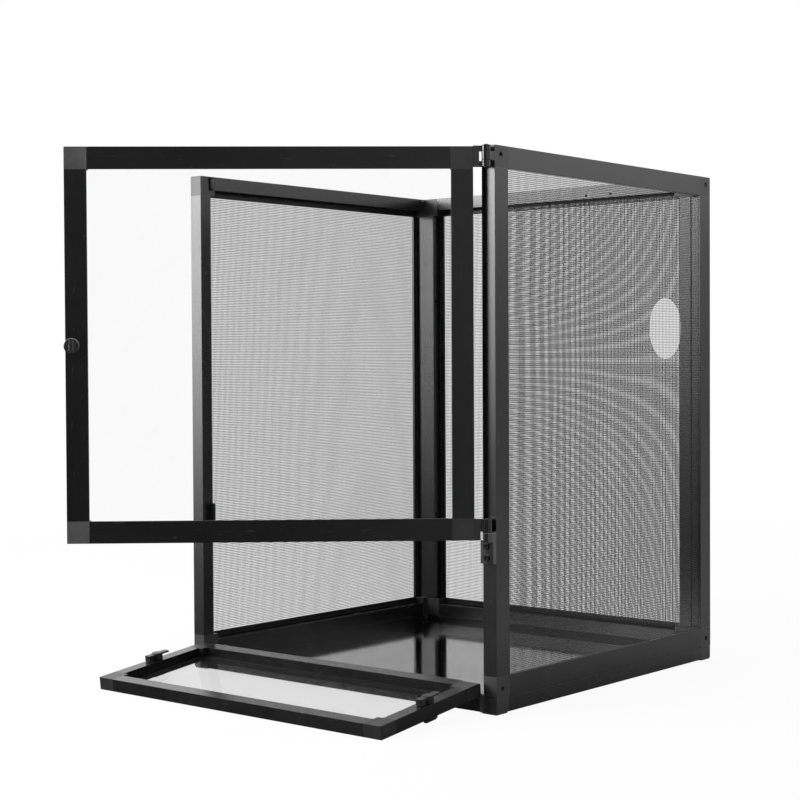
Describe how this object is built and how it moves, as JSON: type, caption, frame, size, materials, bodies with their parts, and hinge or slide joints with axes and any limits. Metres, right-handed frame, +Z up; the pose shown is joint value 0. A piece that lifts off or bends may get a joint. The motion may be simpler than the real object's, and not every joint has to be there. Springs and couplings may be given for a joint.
{
  "type": "reptile terrarium",
  "caption": "Tall screen-sided reptile cage on a low tray base, with a clear side-hinged main door, a clear drop door and turn latches.",
  "frame": {"origin": "centre of the tray sheet's top face, where substrate is laid", "axes": "+Z up, +Y from the doors towards the back panel, +X towards the main door's hinges"},
  "size_m": [0.457, 0.7371, 0.593],
  "materials": {
    "frame": "satin black anodised aluminium extrusion",
    "plastic": "moulded black plastic",
    "mesh": "black coated woven wire",
    "pane": "clear acrylic",
    "spline": "black spline cord",
    "steel": "plain steel",
    "tray": "glossy light grey sheet"
  },
  "bodies": {
    "base": {"base_front_rail": "frame", "base_rear_rail": "frame", "base_left_rail": "frame", "base_right_rail": "frame", "base_corner_front_left": "plastic", "base_corner_front_right": "plastic", "base_corner_rear_left": "plastic", "base_corner_rear_right": "plastic", "tray_sheet": "tray", "drop_door_pins": "steel"},
    "cage": {"left_front_post": "frame", "left_rear_post": "frame", "left_top_rail": "frame", "left_bottom_rail": "frame", "left_top_corners": "plastic", "left_bottom_corners": "plastic", "left_mesh": "mesh", "right_front_post": "frame", "right_rear_post": "frame", "right_top_rail": "frame", "right_bottom_rail": "frame", "right_top_corners": "plastic", "right_bottom_corners": "plastic", "right_mesh": "mesh", "back_left_stile": "frame", "back_right_stile": "frame", "back_top_rail": "frame", "back_bottom_rail": "frame", "back_top_corners": "plastic", "back_bottom_corners": "plastic", "back_mesh": "mesh", "mesh_splines": "spline", "lower_hinge_bracket": "plastic", "door_stop_plate": "frame", "hinge_pins": "steel", "cage_screws": "steel"},
    "main_door": {"main_free_stile": "frame", "main_hinge_stile": "frame", "main_top_rail": "frame", "main_bottom_rail": "frame", "main_free_corners": "plastic", "main_top_hinge_corner": "plastic", "main_bottom_hinge_corner": "plastic", "main_pane": "pane", "main_pane_splines": "spline"},
    "main_latch": {"main_latch_knob": "plastic", "main_latch_arm": "plastic"},
    "drop_door": {"drop_left_stile": "frame", "drop_right_stile": "frame", "drop_top_rail": "frame", "drop_bottom_rail": "frame", "drop_free_corners": "plastic", "drop_hinge_corners": "plastic", "drop_pane": "pane", "drop_pane_splines": "spline"},
    "left_latch": {"left_latch_knob": "plastic", "left_latch_arm": "plastic"},
    "right_latch": {"right_latch_knob": "plastic", "right_latch_arm": "plastic"}
  },
  "joints": [
    {"name": "cage_lift", "type": "slide", "parent": "base", "child": "cage", "axis": [0, 0, 1], "range_m": [0, 0.086]},
    {"name": "main_door_hinge", "type": "hinge", "parent": "cage", "child": "main_door", "pos_m": [0.2235, -0.2282, 0.1714], "axis": [0, 0, 1], "range_deg": [-42, 121]},
    {"name": "main_latch_turn", "type": "hinge", "parent": "main_door", "child": "main_latch", "pos_m": [-0.10228, -0.50512, 0.3754], "axis": [-0.6691, 0.7431, 0], "range_deg": [0, 90]},
    {"name": "drop_door_hinge", "type": "hinge", "parent": "base", "child": "drop_door", "pos_m": [0, -0.2232, 0.0071], "axis": [-1, 0, 0], "range_deg": [0, 96.77]},
    {"name": "left_latch_turn", "type": "hinge", "parent": "drop_door", "child": "left_latch", "pos_m": [-0.2034, -0.30111, 0.0051], "axis": [0, -0.1179, 0.993], "range_deg": [0, 90]},
    {"name": "right_latch_turn", "type": "hinge", "parent": "drop_door", "child": "right_latch", "pos_m": [0.2034, -0.30111, 0.0051], "axis": [0, 0.1179, -0.993], "range_deg": [0, 90]}
  ]
}
